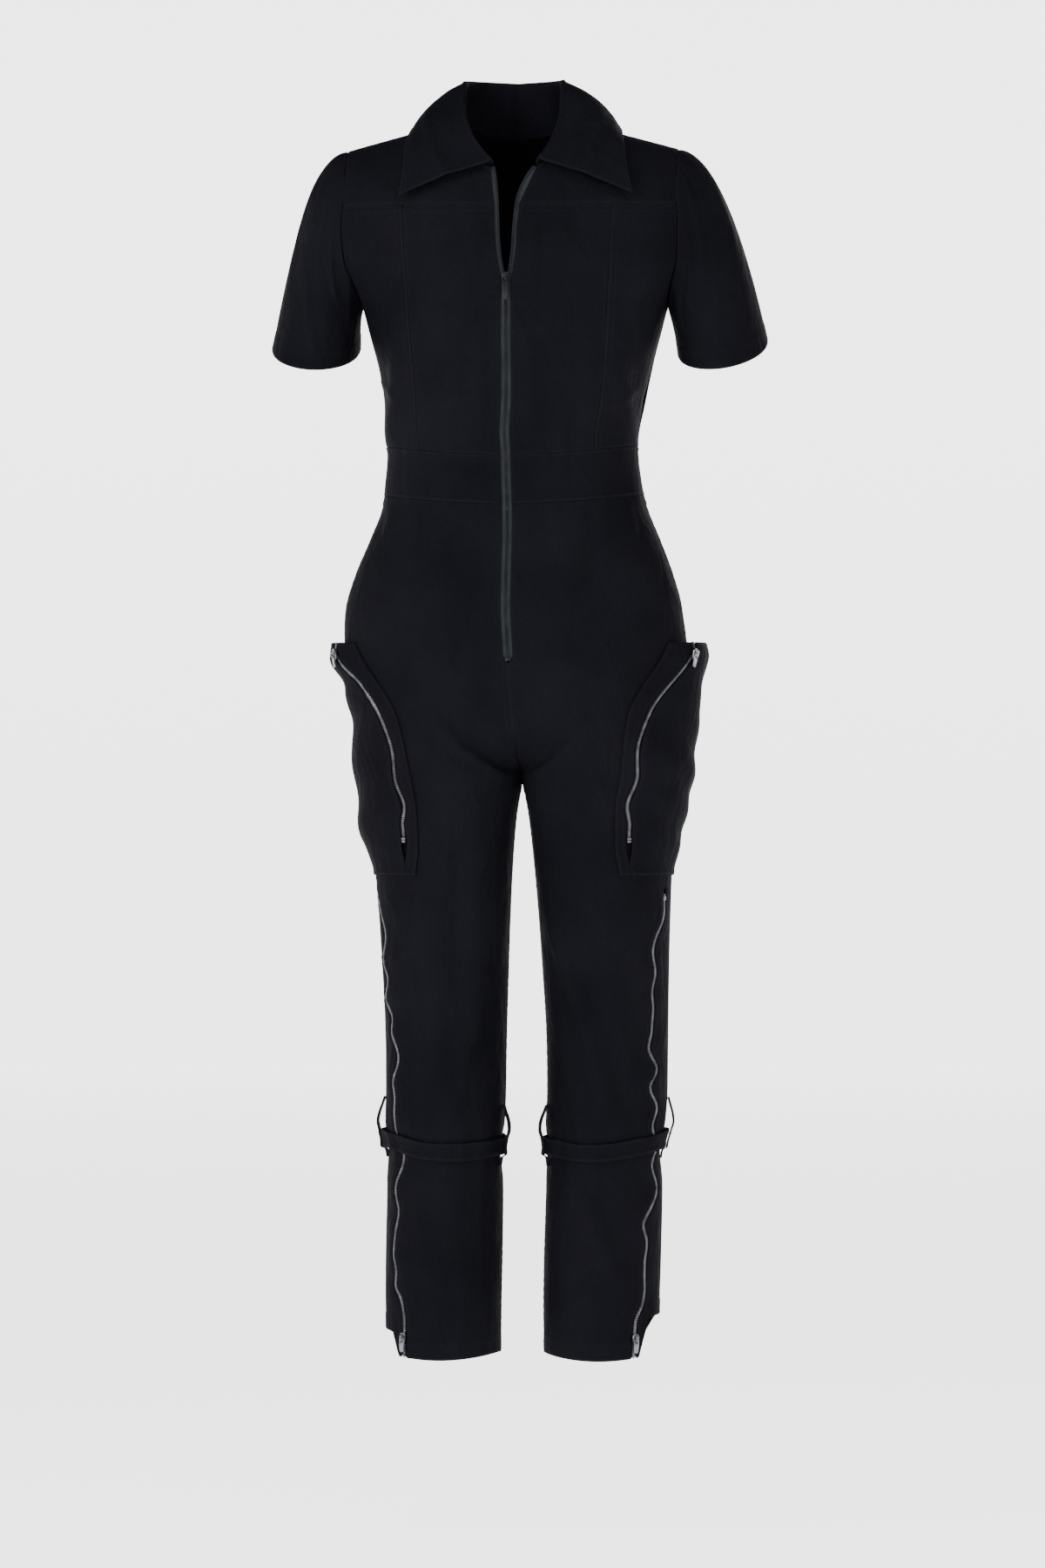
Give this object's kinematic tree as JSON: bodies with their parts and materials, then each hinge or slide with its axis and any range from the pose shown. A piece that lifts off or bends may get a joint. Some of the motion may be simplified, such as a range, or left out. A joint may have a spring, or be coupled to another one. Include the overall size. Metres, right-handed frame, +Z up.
{
  "type": "jumpsuit",
  "caption": "Short-sleeved utility jumpsuit with pointed collar, zip front, waistband, cargo thigh pockets, zipped outseams and knee straps.",
  "frame": {"origin": "midway between the two neck points, where the shoulder seams meet the collar", "axes": "+Z up along the body, the front faces -Y, +X to the viewer's right from the front"},
  "size_m": [0.572, 0.2444, 1.4685],
  "materials": {
    "black_cloth": "dull woven",
    "zip_tape": "dull ribbed",
    "silver_metal": "bright",
    "gunmetal": "dark satin"
  },
  "bodies": {
    "garment": {"front_yoke_left": "black_cloth", "front_yoke_right": "black_cloth", "centre_front_left": "black_cloth", "centre_front_right": "black_cloth", "side_front_left": "black_cloth", "side_front_right": "black_cloth", "sleeve_left": "black_cloth", "sleeve_right": "black_cloth", "trouser_front_left": "black_cloth", "trouser_front_right": "black_cloth", "trouser_back_left": "black_cloth", "trouser_back_right": "black_cloth", "pocket_front_left": "black_cloth", "pocket_front_right": "black_cloth", "pocket_bag_left": "black_cloth", "pocket_bag_right": "black_cloth", "knee_strap_left": "black_cloth", "knee_strap_right": "black_cloth", "strap_loop_outer_left": "black_cloth", "strap_loop_outer_right": "black_cloth", "strap_loop_inner_left": "black_cloth", "strap_loop_inner_right": "black_cloth", "waistband_front_left": "black_cloth", "waistband_front_right": "black_cloth", "back_bodice": "black_cloth", "collar": "black_cloth", "waistband_back": "black_cloth", "front_zip_tape_left": "zip_tape", "front_zip_tape_right": "zip_tape", "leg_zip_tape_left": "zip_tape", "leg_zip_tape_right": "zip_tape", "pocket_zip_chain_left": "silver_metal", "pocket_zip_chain_right": "silver_metal", "leg_zip_chain_left": "silver_metal", "leg_zip_chain_right": "silver_metal", "pocket_zip_left_slider": "silver_metal", "pocket_zip_right_slider": "silver_metal", "leg_zip_left_slider": "silver_metal", "leg_zip_right_slider": "silver_metal", "front_zip_teeth_left": "gunmetal", "front_zip_teeth_right": "gunmetal", "front_zip_chain": "gunmetal", "front_zip_slider": "gunmetal"},
    "front_zip_tab": {"front_zip_pull_tab": "gunmetal"},
    "pocket_zip_left_tab": {"pocket_zip_left_pull_tab": "silver_metal"},
    "pocket_zip_right_tab": {"pocket_zip_right_pull_tab": "silver_metal"},
    "leg_zip_left_tab": {"leg_zip_left_pull_tab": "silver_metal"},
    "leg_zip_right_tab": {"leg_zip_right_pull_tab": "silver_metal"}
  },
  "joints": [
    {"name": "front_zip_tab_hinge", "type": "hinge", "parent": "garment", "child": "front_zip_tab", "pos_m": [0.00197, -0.11625, -0.18341], "axis": [-1, 0, 0], "range_deg": [0, 120]},
    {"name": "pocket_zip_left_tab_hinge", "type": "hinge", "parent": "garment", "child": "pocket_zip_left_tab", "pos_m": [-0.20547, -0.03565, -0.61016], "axis": [-0.3487, 0.8813, -0.319], "range_deg": [0, 120]},
    {"name": "pocket_zip_right_tab_hinge", "type": "hinge", "parent": "garment", "child": "pocket_zip_right_tab", "pos_m": [0.21358, -0.03708, -0.61042], "axis": [-0.3524, -0.8863, 0.3006], "range_deg": [0, 120]},
    {"name": "leg_zip_left_tab_hinge", "type": "hinge", "parent": "garment", "child": "leg_zip_left_tab", "pos_m": [-0.1242, -0.04912, -1.39269], "axis": [-0.8244, 0.5659, 0.0113], "range_deg": [0, 120]},
    {"name": "leg_zip_right_tab_hinge", "type": "hinge", "parent": "garment", "child": "leg_zip_right_tab", "pos_m": [0.14545, -0.04823, -1.3927], "axis": [-0.8111, -0.5832, 0.0436], "range_deg": [0, 120]}
  ]
}
